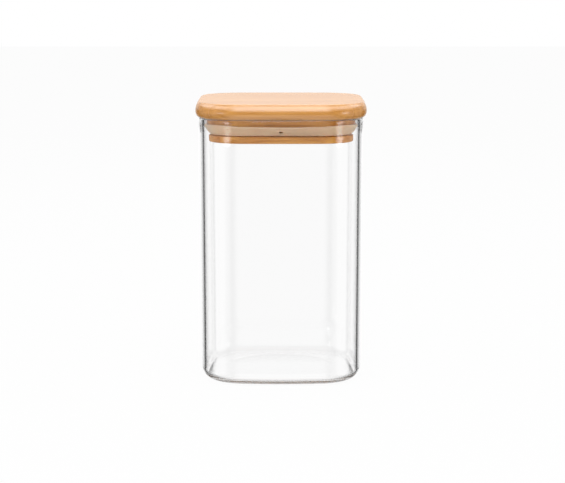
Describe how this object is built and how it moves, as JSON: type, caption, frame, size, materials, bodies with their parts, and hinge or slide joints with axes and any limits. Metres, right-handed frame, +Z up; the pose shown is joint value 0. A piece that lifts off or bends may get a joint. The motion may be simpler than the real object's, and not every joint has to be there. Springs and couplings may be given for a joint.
{
  "type": "glass storage jar",
  "caption": "Square clear glass storage jar with rounded corners and a flat bamboo lid that plugs into the mouth through a flared silicone seal.",
  "frame": {"origin": "centre of the base, on the surface that the jar stands on", "axes": "+Z up through the mouth and the lid; X and Y along the sides of the square; -Y is the side the picture shows, with the seal's small vent"},
  "size_m": [0.1, 0.1, 0.164],
  "materials": {
    "clear_glass": "polished clear borosilicate glass",
    "bamboo_board": "light carbonised bamboo, fine straight grain, satin lacquer",
    "bamboo_plug": "light carbonised bamboo, machined, thin satin lacquer",
    "milky_silicone": "translucent milky silicone, satin"
  },
  "bodies": {
    "jar": {"glass_jar": "clear_glass"},
    "lid": {"lid_board": "bamboo_board", "lid_plug": "bamboo_plug", "seal_ring": "milky_silicone"}
  },
  "joints": [
    {"name": "lid_lift", "type": "slide", "parent": "jar", "child": "lid", "axis": [0, 0, 1], "range_m": [0, 0.06]}
  ]
}
